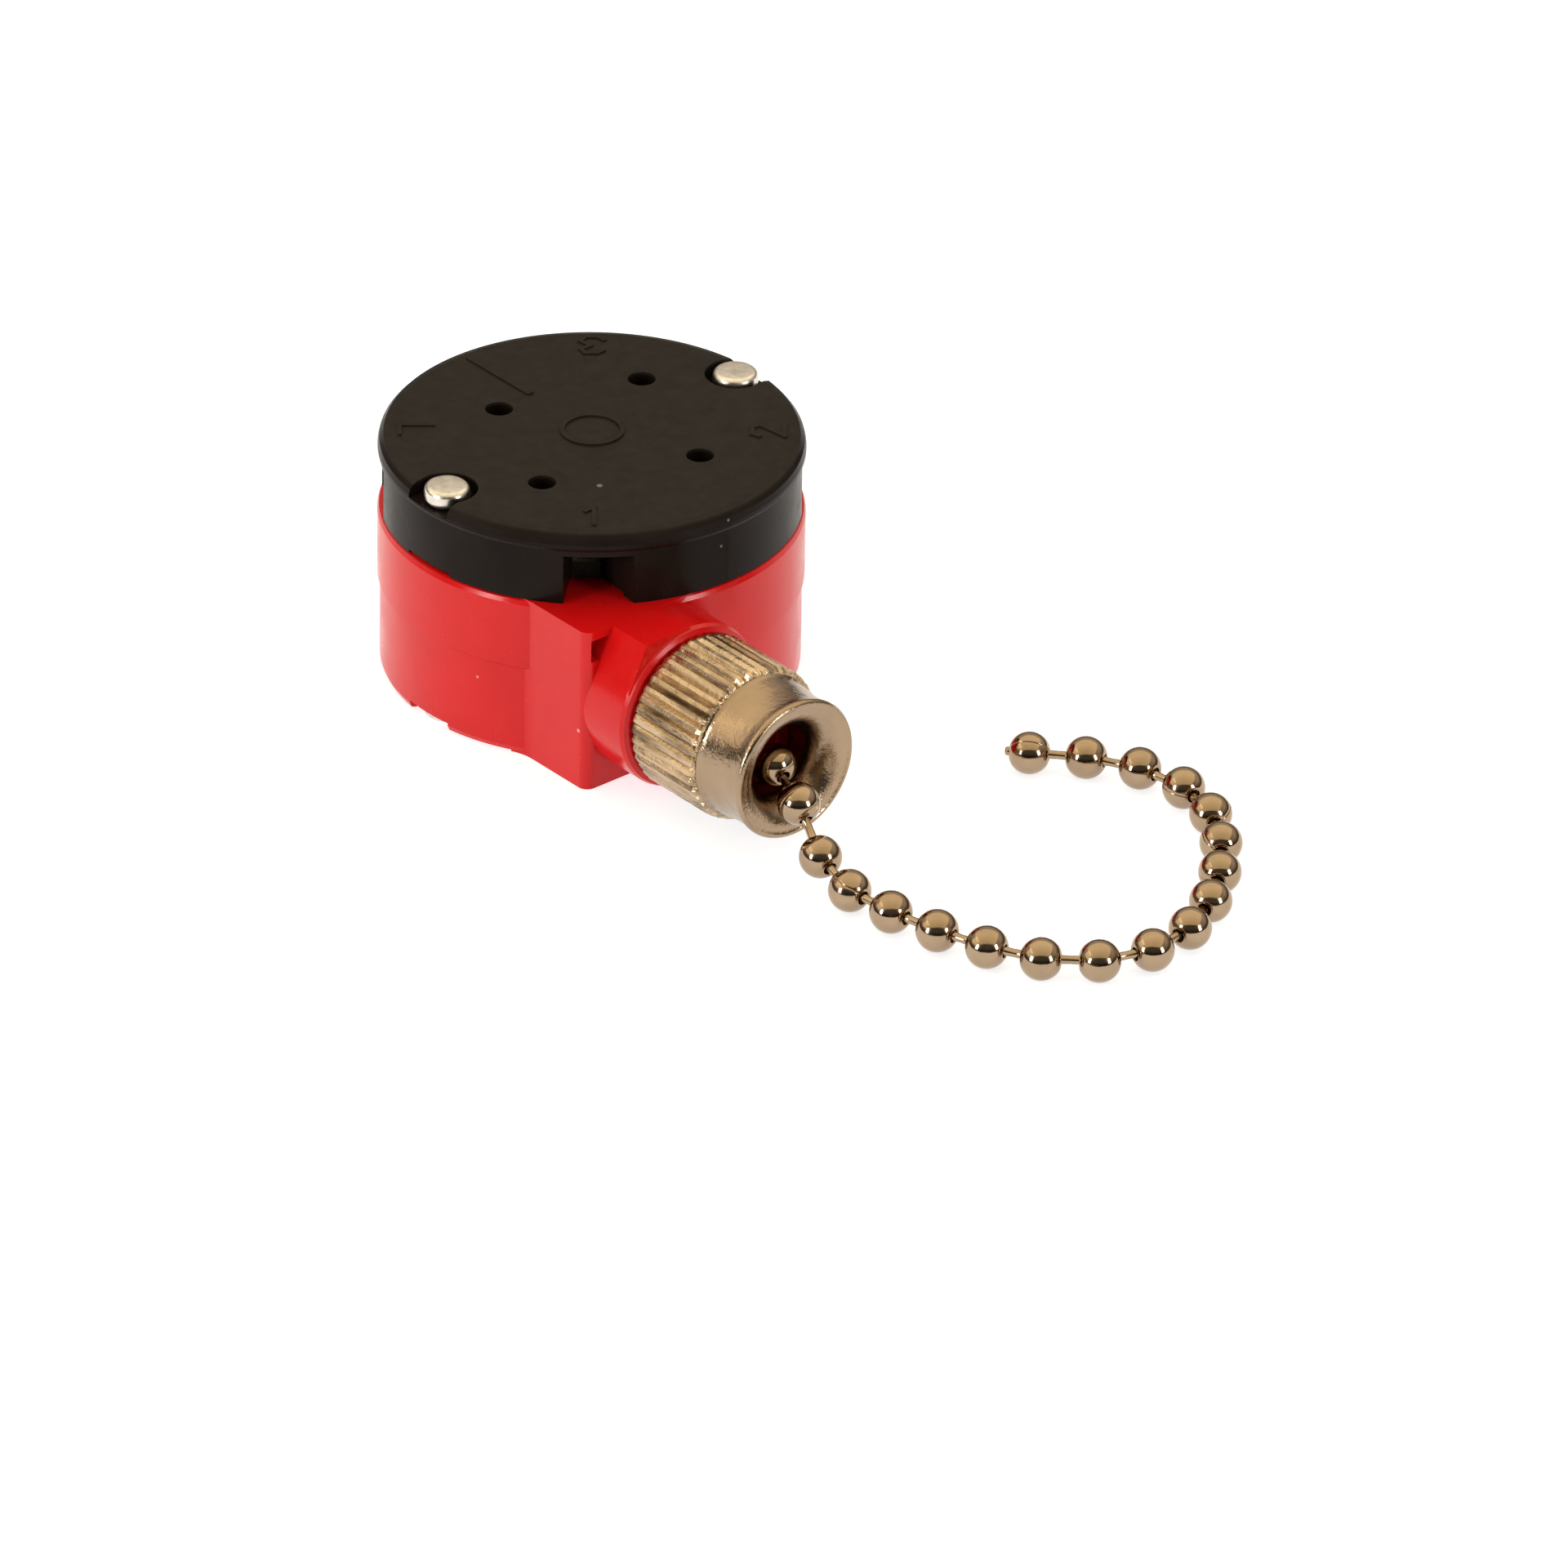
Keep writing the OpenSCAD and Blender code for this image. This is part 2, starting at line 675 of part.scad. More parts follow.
module ratchet_rotor() {
    color("#f1efe8")
    difference() {
        union() {
            translate([0, 0, rotor_z0]) cylinder(r = 8.2, h = rotor_z1 - rotor_z0);
            translate([0, 0, rotor_z0 + 0.05]) ratchet_ring(false);
        }
        translate([0, 0, 5]) cylinder(r = pin_r + run_gap, h = 10);
        // four detent hollows in the rim
        for (k = [0 : 3])
            rotate([0, 0, 90 * k]) translate([8.9, 0, 5]) cylinder(r = 1.1, h = 10);
        // seats for the contact plate's two tabs
        for (a = [45, 225])
            rotate([0, 0, a]) translate([4.3, -0.6, rotor_z1 - 0.8]) cube([0.5, 1.2, 1]);
    }
}

// copper ring with lobes that reach one or two outer terminals at a time
module contact_plate() {
    color("#b8693c")
    difference() {
        union() {
            tube(5.3, 3.3, rotor_z1, plate_z);
            intersection() {
                tube(7.7, 5.2, rotor_z1, plate_z);
                union() {
                    rotate([0, 0, entries[0] - 24]) cube([12, 12, 20]);
                    rotate([0, 0, entries[2] - 30]) translate([0, 0, 0]) cube([12, 5, 20]);
                }
            }
            for (a = [45, 225])
                rotate([0, 0, a]) translate([4.3, -0.6, rotor_z1 - 0.78]) cube([0.5, 1.2, 0.9]);
        }
    }
}

// ---- terminals ----------------------------------------------------------------

// brass angle: an upright plate beside the wire, a foot, and a rounded contact tip
module terminal(k, tip) {
    color("#c9a04a")
    at_entry(k) {
        translate([6.4, 0.72, part_z + 0.3]) cube([4.5, 0.5, cap_z - part_z - 0.32]);
        translate([tip - 0.6, -0.58, part_z + 0.3]) cube([7.6 - tip + 0.6, 1.8, 0.45]);
        translate([tip, 0.3, plate_z + 0.02]) cylinder(r = 0.55, h = 0.4);
    }
}

module terminal_1() {
    terminal(0, 6.3);
}

module terminal_2() {
    terminal(1, 6.3);
}

module terminal_3() {
    terminal(2, 6.3);
}

module terminal_l() {
    terminal(3, 3.9);
}

// steel strip spring: a base leg on the chamber wall, a bend, and a leg that grips the wire
module clamp(k) {
    t = 0.28;
    color("#a9adb3")
    at_entry(k)
        translate([0, 0, part_z + 0.9])
            linear_extrude(2.6)
                polygon([
                    [6.0, -4.9], [10.2, -4.9], [10.65, -4.7], [10.85, -4.25], [10.7, -3.8],
                    [8.3, 0.42], [8.08, 0.52], [7.98, 0.38],
                    [10.42, -3.92], [10.53, -4.24], [10.43, -4.48], [10.15, -4.9 + t], [6.0, -4.9 + t]
                ]);
}

module clamp_1() {
    clamp(0);
}

module clamp_2() {
    clamp(1);
}

module clamp_3() {
    clamp(2);
}

module clamp_l() {
    clamp(3);
}

housing_cup();
terminal_cover();
rivet_near();
rivet_far();
bell_nut();
pivot_pin();
pull_drum();
drum_washer();
chain_anchor();
chain_wrap();
chain_wrap_links();
chain_balls_inner();
chain_balls_mouth();
chain_balls_near();
chain_balls_far();
chain_links();
return_spring();
rotor_spring();
spring_washer();
ratchet_rotor();
contact_plate();
terminal_1();
terminal_2();
terminal_3();
terminal_l();
clamp_1();
clamp_2();
clamp_3();
clamp_l();
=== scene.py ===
import bpy
import json
import math
import random
from mathutils import Vector, Matrix


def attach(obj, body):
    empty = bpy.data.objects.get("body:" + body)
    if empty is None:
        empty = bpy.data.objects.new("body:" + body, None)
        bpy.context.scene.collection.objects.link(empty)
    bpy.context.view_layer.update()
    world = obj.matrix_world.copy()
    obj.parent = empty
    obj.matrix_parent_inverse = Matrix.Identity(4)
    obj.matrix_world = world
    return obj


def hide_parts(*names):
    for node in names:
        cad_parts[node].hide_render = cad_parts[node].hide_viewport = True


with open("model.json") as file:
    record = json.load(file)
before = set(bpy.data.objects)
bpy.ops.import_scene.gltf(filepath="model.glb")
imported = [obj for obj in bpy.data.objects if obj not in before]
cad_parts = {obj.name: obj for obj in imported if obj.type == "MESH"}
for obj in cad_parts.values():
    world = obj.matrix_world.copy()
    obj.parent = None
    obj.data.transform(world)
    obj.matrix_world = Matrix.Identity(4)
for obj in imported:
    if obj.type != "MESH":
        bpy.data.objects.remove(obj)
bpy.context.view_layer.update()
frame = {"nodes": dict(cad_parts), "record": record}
MM = 0.001

# ---- camera ---------------------------------------------------------------------

AZIMUTH, ELEVATION, ROLL, DISTANCE = math.radians(50.0), math.radians(29.4), math.radians(0.5), 1.2
FOCAL = 10.3007                          # focal length over frame width
SENSOR = 36
TARGET = Vector((0, 0, 0.009))
TARGET_PLACE = Vector((-0.12300, 0.14934))   # where the target stands, over frame width


def make_camera():
    """Camera turned off its target, which so stands away from the middle of the frame."""
    back = Vector((math.sin(AZIMUTH) * math.cos(ELEVATION), -math.cos(AZIMUTH) * math.cos(ELEVATION),
                   math.sin(ELEVATION)))
    right = Vector((math.cos(AZIMUTH), math.sin(AZIMUTH), 0))
    up = back.cross(right)
    right, up = (right * math.cos(ROLL) + up * math.sin(ROLL),
                 up * math.cos(ROLL) - right * math.sin(ROLL))
    axes = Matrix((right, up, back)).transposed()
    toward = Vector((TARGET_PLACE.x / FOCAL, TARGET_PLACE.y / FOCAL, -1)).normalized()
    turn = toward.rotation_difference(Vector((0, 0, -1))).to_matrix()
    data = bpy.data.cameras.new("camera")
    data.sensor_width = SENSOR
    data.lens = SENSOR * FOCAL
    data.clip_start, data.clip_end = 0.05, 20
    cam = bpy.data.objects.new("camera", data)
    bpy.context.scene.collection.objects.link(cam)
    cam.matrix_world = Matrix.Translation(TARGET + back * DISTANCE) @ (axes @ turn).to_4x4()
    bpy.context.scene.camera = cam
    return right, back


cam_right, cam_back = make_camera()

# ---- mesh helpers ---------------------------------------------------------------


def mesh_object(name, verts, faces, smooth_angle):
    """A mesh in the scene, smooth but for edges sharper than the angle in degrees."""
    me = bpy.data.meshes.new(name)
    me.from_pydata([tuple(v) for v in verts], [], faces)
    me.validate()
    me.polygons.foreach_set("use_smooth", [True] * len(me.polygons))
    if smooth_angle:
        me.set_sharp_from_angle(angle=math.radians(smooth_angle))
    me.update()
    ob = bpy.data.objects.new(name, me)
    bpy.context.scene.collection.objects.link(ob)
    return ob


def grid_faces(rows, cols, start=0, close_rows=False):
    """Quads of a grid whose rows of cols points each go round; the rows may close too."""
    out = []
    last = rows if close_rows else rows - 1
    for i in range(last):
        j = (i + 1) % rows
        for k in range(cols):
            m = (k + 1) % cols
            out.append((start + i * cols + k, start + i * cols + m,
                        start + j * cols + m, start + j * cols + k))
    return out


def circle(steps):
    return [2 * math.pi * k / steps for k in range(steps)]


def side_axes(t):
    """The direction t with two more square to it."""
    t = t.normalized()
    ref = Vector((0, 0, 1)) if abs(t.z) < 0.9 else Vector((0, 1, 0))
    n = (ref - t * ref.dot(t)).normalized()
    return t, n, t.cross(n)


# ---- ball chain -----------------------------------------------------------------

# Lengths of the chain, the nut and the rivets are in mm.
NOZZLE_Y, NOZZLE_Z, MOUTH_X = -6.6, 6.65, 31.35
BALL_R, HOLE_R, ROD_R, HEAD_R = 1.6, 0.5, 0.34, 0.6
BALL_WALL = 0.26
BALL_STEPS, ROD_STEPS = 40, 16       # points round a ball and round a link
INNER_BALLS, INNER_PITCH = 6, 4.35   # straight run inside the nozzle
LAID_BALLS, LAY_PITCH = 16, 4.206    # on the table
HEAD_OUT = 0.68                      # from a ball's centre to the middle of a link's head
END_STUB, INNER_STUB = 1.8, 1.9      # bare ends of link past the last ball and the first
SEAM_HALF = 0.03                     # half the angle that a ball's seam takes up


def chain_points():
    """Centres of the balls: along the nozzle, down from its mouth, then round on the table."""
    def wander(k, size, cycle, start):
        return size * math.sin(2 * math.pi * (k - start) / cycle)

    def heading(k):
        return math.radians(-13.92 + 14.93 * k - wander(k, 8.53, 16.92, -1.23)
                            - wander(k, 10.26, 6.95, 2.44))

    ball0 = Vector((MOUTH_X - 2.45, NOZZLE_Y, NOZZLE_Z - 0.62))
    pts = [Vector((ball0.x - INNER_PITCH * k, NOZZLE_Y, NOZZLE_Z)) for k in range(INNER_BALLS, 0, -1)]
    pts += [ball0, Vector((MOUTH_X + 1.46, NOZZLE_Y - 0.99, NOZZLE_Z - 1.79)),
            Vector((MOUTH_X + 5, NOZZLE_Y - 1.88, BALL_R + 0.72))]
    for k in range(LAID_BALLS):
        drop = pts[-1].z - BALL_R
        step = math.sqrt(LAY_PITCH ** 2 - drop ** 2)
        h = heading(k)
        pts.append(pts[-1] + Vector((step * math.cos(h), step * math.sin(h), -drop)))
    return pts


def bead_profile():
    """Round the wall of one hollow bead, from hole to hole outside and back inside."""
    outer_steps, inner_steps = 26, 10
    flat_end = math.radians(42)          # the ball is a little flattened this near to a hole
    a0 = math.asin(HOLE_R / BALL_R)
    out = []
    for i in range(outer_steps + 1):
        a = a0 + 0.09 + (math.pi - 2 * a0 - 0.18) * i / outer_steps
        end = max(0.0, 1 - min(a, math.pi - a) / flat_end)
        r = BALL_R * (1 - 0.05 * end ** 2)
        out.append((r * math.cos(a), r * math.sin(a)))
    lip = BALL_R * math.cos(a0) * 0.955
    out = [(lip - 0.16, HOLE_R), (lip - 0.05, HOLE_R + 0.01), (lip, HOLE_R + 0.05)] + out
    out += [(-lip, HOLE_R + 0.05), (-lip + 0.05, HOLE_R + 0.01), (-lip + 0.16, HOLE_R)]
    inner = BALL_R - BALL_WALL
    b0 = math.asin(HOLE_R / inner) + 0.05
    for i in range(inner_steps + 1):
        a = math.pi - b0 - (math.pi - 2 * b0) * i / inner_steps
        out.append((inner * math.cos(a), inner * math.sin(a)))
    return out


def rod_profile(length, headed):
    """A link along +t from 0: a rod with two heads, or with one and a plain rough end."""
    steps = 5
    neck = math.pi - math.asin(ROD_R / HEAD_R)
    out = [(HEAD_OUT - HEAD_R, 0.0)]
    for i in range(1, steps + 1):
        a = math.pi - i * neck / steps
        out.append((HEAD_OUT + HEAD_R * math.cos(a), HEAD_R * math.sin(a)))
    if headed:
        q = length - HEAD_OUT
        mid = length / 2
        out += [(mid - 0.3, ROD_R - 0.015), (mid, ROD_R - 0.03), (mid + 0.3, ROD_R - 0.015)]
        for i in range(steps):
            a = neck - i * neck / steps
            out.append((q + HEAD_R * math.cos(a), HEAD_R * math.sin(a)))
        out.append((q + HEAD_R, 0.0))
    else:
        out += [(length - 0.22, ROD_R), (length - 0.06, ROD_R - 0.03), (length, ROD_R - 0.12),
                (length - 0.03, 0.0)]
    return out


def add_lathe(verts, faces, profile, at, t, n, b, angles, closed, shape=None):
    """Turn (along, radius) pairs round the axis t at a place; shape may move each point."""
    start = len(verts)
    for i, (x, r) in enumerate(profile):
        for a in angles:
            p = Vector((x, max(r, 0.004) * math.cos(a), max(r, 0.004) * math.sin(a)))
            if shape:
                p = shape(p, a)
            verts.append((at + t * p.x + n * p.y + b * p.z) * MM)
    faces += grid_faces(len(profile), len(angles), start, closed)


def make_chain():
    """The whole ball chain as one piece: seamed hollow balls, each pierced by headed links."""
    rnd = random.Random(7)
    pts = chain_points()
    verts, faces = [], []
    profile = bead_profile()
    for i, p in enumerate(pts):
        before = (p - pts[i - 1]) if i else Vector((1, 0, 0))
        after = (pts[i + 1] - p) if i < len(pts) - 1 else before
        before, after = before.normalized(), after.normalized()
        t, n, b = side_axes(before + after)
        seam = rnd.uniform(-2.6, -0.5) if rnd.random() < 0.75 else rnd.uniform(0.3, 2.8)
        clear = [a for a in circle(BALL_STEPS) if abs(math.remainder(a - seam, 2 * math.pi)) > 0.06]
        angles = sorted([a % (2 * math.pi) for a in clear]
                        + [(seam + s) % (2 * math.pi) for s in (-0.05, -0.018, 0, 0.018, 0.05)])
        deep = rnd.uniform(0.02, 0.05)
        ahead = t.cross(after)
        astern = t.cross(before)
        turn_a, turn_b = math.asin(min(1, ahead.length)), math.asin(min(1, astern.length))
        axis_a = Vector((ahead.dot(t), ahead.dot(n), ahead.dot(b)))
        axis_b = Vector((astern.dot(t), astern.dot(n), astern.dot(b)))

        def shape(q, a):
            d = abs(math.remainder(a - seam, 2 * math.pi))
            if d < SEAM_HALF and q.length > BALL_R - 0.1:
                q = q * (1 - deep / BALL_R * (1 - d / SEAM_HALF))
            # each hole leans toward the link that enters it
            w = min(1.0, max(0.0, (abs(q.x) / BALL_R - 0.15) / 0.6)) * 0.75
            turn, axis = (turn_a, axis_a) if q.x > 0 else (turn_b, axis_b)
            if turn > 1e-4 and axis.length > 1e-6:
                q = Matrix.Rotation(turn * w, 3, axis.normalized()) @ q
            return q

        add_lathe(verts, faces, profile, p, t, n, b, angles, True, shape)
    turns = circle(ROD_STEPS)
    for a, b_ in zip(pts[:-1], pts[1:]):
        t, n, b = side_axes(b_ - a)
        add_lathe(verts, faces, rod_profile((b_ - a).length, True), a, t, n, b, turns, False)
    t, n, b = side_axes(pts[-1] - pts[-2])
    add_lathe(verts, faces, rod_profile(END_STUB, False), pts[-1], t, n, b, turns, False)
    t, n, b = side_axes(Vector((-1, 0, 0)))
    add_lathe(verts, faces, rod_profile(INNER_STUB, False), pts[0], t, n, b, turns, False)
    ob = mesh_object("bead_chain", verts, faces, 50)
    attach(ob, "chain")
    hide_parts("chain_balls_inner", "chain_balls_mouth", "chain_balls_near",
                "chain_balls_far", "chain_links")
    return ob


chain = make_chain()

# ---- bell nut -------------------------------------------------------------------


NUT_X, NUT_R, KNURL_L, BARREL_R, MOUTH_R = 19.6, 6.12, 7.1, 5.55, 5.5
NUT_L = MOUTH_X - NUT_X
SHOULDER_R, BORE_R, THROAT_R = 5.68, 3.95, 2.7
FLARE_L, FLARE_R = 2.9, 2.24         # how deep and how wide the bell mouth flares
FLUTES, FLUTE_STEPS = 44, 16
PLAIN, FLUTED, CHIPPED = 0, 1, 2     # kinds of row: smooth round, cut by flutes, flutes ending


def nut_rows():
    """Rows of the nut as (along, radius, kind), from its back face round the outside and in."""
    rows = [(0.0, 4.0, PLAIN), (0.0, 4.8, PLAIN), (0.0, NUT_R - 0.42, PLAIN),
            (0.04, NUT_R - 0.3, FLUTED), (0.18, NUT_R - 0.1, FLUTED), (0.36, NUT_R, FLUTED)]
    rows += [(0.36 + (KNURL_L - 0.96) * i / 22, NUT_R, FLUTED) for i in range(1, 23)]
    rows += [(KNURL_L - 0.6 + 0.075 * i, NUT_R, CHIPPED) for i in range(1, 8)]
    # the barrel
    smooth = [(KNURL_L, 5.72), (KNURL_L + 0.02, BARREL_R + 0.14), (KNURL_L + 0.12, BARREL_R + 0.05),
              (KNURL_L + 0.5, BARREL_R)]
    smooth += [(KNURL_L + 0.5 + (NUT_L - 2.6 - KNURL_L - 0.5) * i / 5, BARREL_R - 0.2 * i / 5)
               for i in range(1, 6)]
    # the rolled rim
    smooth += [(NUT_L - 2.2, BARREL_R - 0.215), (NUT_L - 1.8, BARREL_R - 0.22),
               (NUT_L - 1.3, BARREL_R - 0.2), (NUT_L - 0.8, MOUTH_R - 0.12),
               (NUT_L - 0.5, MOUTH_R - 0.02), (NUT_L - 0.25, MOUTH_R),
               (NUT_L - 0.1, MOUTH_R - 0.08), (NUT_L - 0.02, MOUTH_R - 0.18),
               (NUT_L, MOUTH_R - 0.28), (NUT_L - 0.03, MOUTH_R - 0.39), (NUT_L - 0.1, MOUTH_R - 0.48)]
    # the flare of the mouth, the throat and the bore
    for i in range(1, 15):
        a = math.radians(90 * i / 14)
        smooth.append((NUT_L - 0.1 - FLARE_L * (1 - math.cos(a)), MOUTH_R - 0.48 - FLARE_R * math.sin(a)))
    smooth += [(7.98, THROAT_R), (7.9, THROAT_R + 0.04), (7.8, BORE_R), (3.0, BORE_R), (0.0, BORE_R)]
    return rows + [(x, r, PLAIN) for x, r in smooth]


def make_nut():
    """Cast nut: rough flutes of uneven depth that end unevenly, a barrel and a bell mouth."""
    rnd = random.Random(3)
    tips = [rnd.uniform(0.25, 0.62) for _ in range(FLUTES)]    # how long each flute's end is
    low = [rnd.uniform(0.0, 0.05) for _ in range(FLUTES)]      # how far each crest lies below full
    cuts = [rnd.uniform(0.75, 1.1) for _ in range(FLUTES)]     # how deep each groove is cut
    rows = nut_rows()
    cols = FLUTES * FLUTE_STEPS
    verts = []
    for x, r, kind in rows:
        for c, a in enumerate(circle(cols)):
            rr = r
            if kind != PLAIN:
                f, u = divmod(c, FLUTE_STEPS)
                u = u / FLUTE_STEPS
                v = abs(u - 0.5) * 2                      # 1 at a groove, 0 on a crest
                v = max(0.0, (v - 0.42) / 0.58)
                k = cuts[f] if u < 0.5 else cuts[(f + 1) % FLUTES]
                wave = 0.02 * math.sin(x * 3.1 + f * 1.7) + 0.012 * math.sin(x * 9.0 + f * 4.1)
                depth = 0.34 * k * v ** 0.85 * min(1.0, 0.25 + x)
                rr = r - depth - low[f] * (1 - v) + min(0.0, wave) * (1 - v)
                if kind == CHIPPED:
                    past = x - (KNURL_L - tips[f])
                    if past > 0:
                        rr -= past * (0.55 + 0.5 * v) * 0.75
                rr = max(rr, SHOULDER_R if kind == CHIPPED else r - 0.45)
            verts.append(Vector((NUT_X + x, NOZZLE_Y + rr * math.cos(a), NOZZLE_Z + rr * math.sin(a))) * MM)
    faces = grid_faces(len(rows), cols, 0, True)
    ob = mesh_object("bell_nut_visual", verts, faces, 38)
    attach(ob, "nut")
    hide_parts("bell_nut")
    return ob


nut = make_nut()

# ---- rivets ---------------------------------------------------------------------


RIVET_Y = 13.86
HEAD_BASE, HEAD_BELLY, HEAD_TOP = 18.1, 18.95, 19.455    # heights of a rivet's upper head
RIVET_R, BASE_R, SHANK_R, FOOT_R = 1.75, 1.4, 0.99, 1.6


def rivet_rows():
    """Outline of a rivet as (height, radius), from the middle of its foot to its top."""
    rows = [(0.125, 0.0), (0.125, 1.45), (0.3, FOOT_R), (0.745, FOOT_R), (0.745, SHANK_R),
            (18.06, SHANK_R), (18.07, 1.15), (HEAD_BASE, BASE_R)]
    for i in range(1, 9):
        a = math.radians(90 * i / 8)
        rows.append((HEAD_BASE + 0.45 * (1 - math.cos(a)), BASE_R + (RIVET_R - BASE_R) * math.sin(a)))
    rows += [(18.8, RIVET_R), (HEAD_BELLY, RIVET_R - 0.01)]
    for i in range(1, 11):
        a = math.radians(90 * i / 10)
        rows.append((HEAD_BELLY + (HEAD_TOP - 0.02 - HEAD_BELLY) * math.sin(a),
                     RIVET_R - 0.01 - 0.42 * (1 - math.cos(a))))
    rows += [(HEAD_TOP - 0.006, 1.1), (HEAD_TOP, 0.7), (HEAD_TOP, 0.3), (HEAD_TOP, 0.0)]
    return rows


def make_rivet(name, y):
    """Soft pebble head on a short shank, in place of the sharp-edged one."""
    rows = rivet_rows()
    cols = 72
    verts = []
    for z, r in rows:
        for a in circle(cols):
            if z > 18:                   # the upper head is not quite round
                r_ = r * (1 - 0.008 * (1 + math.sin(2 * a + y)) - 0.006 * (1 + math.sin(5 * a)))
            else:
                r_ = r
            verts.append(Vector((max(r_, 0.002) * math.cos(a), y + max(r_, 0.002) * math.sin(a), z)) * MM)
    ob = mesh_object(name, verts, grid_faces(len(rows), cols), 50)
    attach(ob, "housing")
    return ob


rivets = [make_rivet("rivet_near_visual", -RIVET_Y), make_rivet("rivet_far_visual", RIVET_Y)]
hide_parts("rivet_near")
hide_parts("rivet_far")

# ---- materials ------------------------------------------------------------------


class Mat:
    """A node material built from short calls; every texture reads object coordinates."""

    def __init__(self, name, colour, rough, metal=0.0, ior=1.5):
        self.m = bpy.data.materials.new(name)
        self.m.use_nodes = True
        self.nt = self.m.node_tree
        self.p = self.nt.nodes["Principled BSDF"]
        self.p.inputs["Base Color"].default_value = (*colour, 1)
        self.p.inputs["Roughness"].default_value = rough
        self.p.inputs["Metallic"].default_value = metal
        self.p.inputs["IOR"].default_value = ior
        self.pos = self.nt.nodes.new("ShaderNodeTexCoord").outputs["Object"]
        self.last_bump = None

    def node(self, kind, **props):
        n = self.nt.nodes.new(kind)
        for k, v in props.items():
            setattr(n, k, v)
        return n

    def put(self, socket, value):
        if isinstance(value, bpy.types.NodeSocket):
            self.nt.links.new(value, socket)
        else:
            socket.default_value = value

    def scaled(self, sx, sy, sz, rot=(0, 0, 0)):
        n = self.node("ShaderNodeMapping")
        self.put(n.inputs["Vector"], self.pos)
        n.inputs["Scale"].default_value = (sx, sy, sz)
        n.inputs["Rotation"].default_value = rot
        return n.outputs["Vector"]

    def noise(self, scale, detail=3.0, rough=0.55, vector=None):
        n = self.node("ShaderNodeTexNoise")
        self.put(n.inputs["Vector"], vector or self.pos)
        n.inputs["Scale"].default_value = scale
        n.inputs["Detail"].default_value = detail
        n.inputs["Roughness"].default_value = rough
        return n.outputs["Fac"]

    def ramp(self, value, lo, hi, out_lo=0.0, out_hi=1.0):
        """The value from lo to hi, taken to out_lo to out_hi and held there beyond."""
        n = self.node("ShaderNodeMapRange")
        n.clamp = True
        self.put(n.inputs["Value"], value)
        n.inputs["From Min"].default_value = lo
        n.inputs["From Max"].default_value = hi
        n.inputs["To Min"].default_value = out_lo
        n.inputs["To Max"].default_value = out_hi
        return n.outputs["Result"]

    def math(self, op, a, b):
        n = self.node("ShaderNodeMath", operation=op)
        self.put(n.inputs[0], a)
        self.put(n.inputs[1], b)
        return n.outputs[0]

    def mix(self, fac, a, b):
        n = self.node("ShaderNodeMix", data_type="RGBA")
        self.put(n.inputs["Factor"], fac)
        self.put(n.inputs[6], (*a, 1) if isinstance(a, tuple) else a)
        self.put(n.inputs[7], (*b, 1) if isinstance(b, tuple) else b)
        return n.outputs[2]

    def axis(self, which):
        n = self.node("ShaderNodeSeparateXYZ")
        self.put(n.inputs[0], self.pos)
        return n.outputs[which]

    def specks(self, scale, size, share, seed=0.0):
        """Small scattered spots: 1 inside a spot. Only some cells hold one."""
        off = self.node("ShaderNodeVectorMath", operation="ADD")
        self.put(off.inputs[0], self.pos)
        off.inputs[1].default_value = (seed, seed * 0.7, -seed)
        v = self.node("ShaderNodeTexVoronoi")
        self.put(v.inputs["Vector"], off.outputs[0])
        v.inputs["Scale"].default_value = scale
        spot = self.ramp(v.outputs["Distance"], size, size * 0.5, 0.0, 1.0)
        pick = self.node("ShaderNodeSeparateColor")
        self.put(pick.inputs[0], v.outputs["Color"])
        return self.math("MULTIPLY", spot, self.math("LESS_THAN", pick.outputs[0], share))

    def bump(self, height, strength, distance):
        """Relief on top of any given before."""
        n = self.node("ShaderNodeBump")
        n.inputs["Strength"].default_value = strength
        n.inputs["Distance"].default_value = distance
        self.put(n.inputs["Height"], height)
        if self.last_bump is not None:
            self.put(n.inputs["Normal"], self.last_bump)
        self.last_bump = n.outputs["Normal"]
        self.put(self.p.inputs["Normal"], self.last_bump)

    def colour(self, value):
        self.put(self.p.inputs["Base Color"], value)

    def rough(self, value):
        self.put(self.p.inputs["Roughness"], value)


# Metres in the shared frame: each pair is where one finish gives way to the next, but on the spigot it is
# where painted shade begins.
SPIGOT_PAINTED_SHADE = (0.0262, 0.0268)
DECK_TOP = (0.01885, 0.01905)
KNURL_END = (0.02668, 0.02674)


def red_plastic():
    """Glossy red with dust specks; the spigot's end inside the nut's throat is given painted shade."""
    m = Mat("red_moulded", (0.55, 0.004, 0.01), 0.2, ior=1.36)
    flow = m.noise(180, 3, 0.5)
    fine = m.noise(1400, 2, 0.6)
    base = m.mix(m.ramp(flow, 0.3, 0.7), (0.54, 0.0045, 0.005), (0.59, 0.006, 0.007))
    base = m.mix(m.ramp(fine, 0.62, 0.75, 0, 0.25), base, (0.58, 0.02, 0.02))
    dust = m.specks(420, 0.075, 0.12)
    # painted shade: the red darkens toward the spigot's end, which sits in the nut's throat
    base = m.mix(m.ramp(m.axis(0), *SPIGOT_PAINTED_SHADE, 0, 0.86), base, (0.03, 0.001, 0.001))
    m.colour(m.mix(m.math("MULTIPLY", dust, 0.55), base, (0.9, 0.62, 0.58)))
    haze = m.ramp(m.noise(420, 4, 0.6), 0.35, 0.75, 0.16, 0.30)
    drawn = m.scaled(1, 1, 0.06, (0.5, 0.3, 0.2))
    scratch = m.ramp(m.noise(900, 2, 0.5, drawn), 0.66, 0.72, 0, 0.05)
    m.rough(m.math("ADD", haze, scratch))
    m.bump(m.noise(700, 3, 0.6), 0.12, 0.00004)
    m.bump(m.noise(150, 2, 0.5), 0.10, 0.00025)
    return m.m


